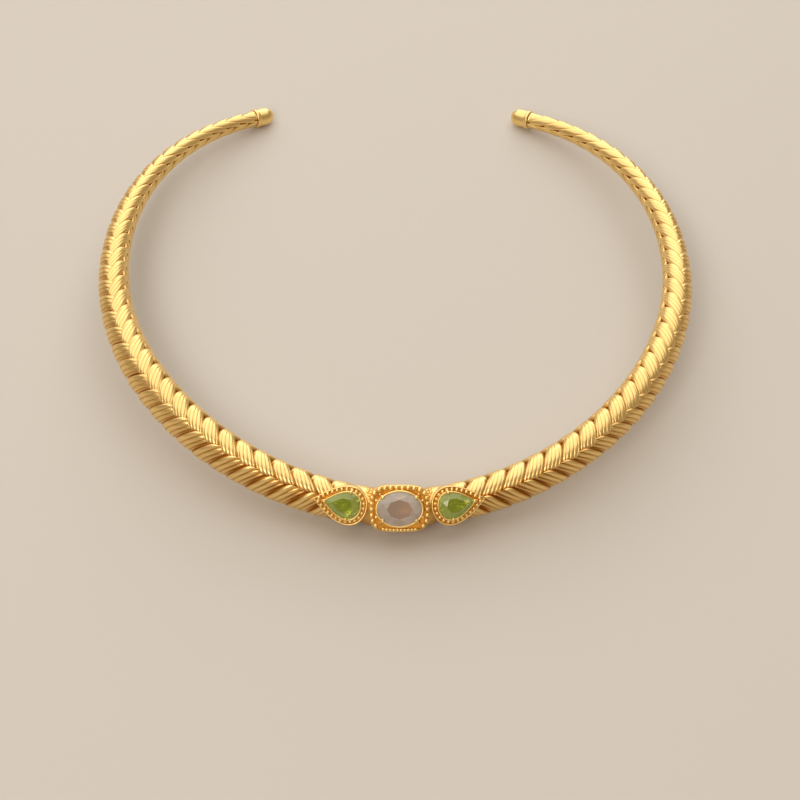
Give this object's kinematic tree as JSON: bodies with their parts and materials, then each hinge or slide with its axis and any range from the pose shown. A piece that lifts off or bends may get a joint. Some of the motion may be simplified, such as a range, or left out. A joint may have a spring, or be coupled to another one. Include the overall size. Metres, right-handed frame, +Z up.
{
  "type": "torc necklace",
  "caption": "Rigid open torc necklace with a plaited gold hoop tapering to plain rounded ends, and granulated settings holding an oval stone between pear stones.",
  "frame": {"origin": "middle of the plan of the whole necklace, on the plane that it lies on", "axes": "+Z up from the surface it lies on; the stones face -Y and upwards; the open ends are at +Y; +X to the right seen from the front"},
  "size_m": [0.1388, 0.132, 0.0156],
  "materials": {
    "plaited_gold": "satin yellow gold, cast plait with darker grooves",
    "polished_gold": "soft polish, yellow gold",
    "granulated_gold": "satin yellow gold with bright granules",
    "pale_quartz": "clear faceted pale brownish pink quartz",
    "green_peridot": "clear faceted yellow green peridot"
  },
  "bodies": {
    "root": {"hoop": "plaited_gold", "end_cap_left": "polished_gold", "end_cap_right": "polished_gold", "centre_setting": "granulated_gold", "left_side_setting": "granulated_gold", "right_side_setting": "granulated_gold", "centre_stone": "pale_quartz", "left_side_stone": "green_peridot", "right_side_stone": "green_peridot"}
  },
  "joints": []
}
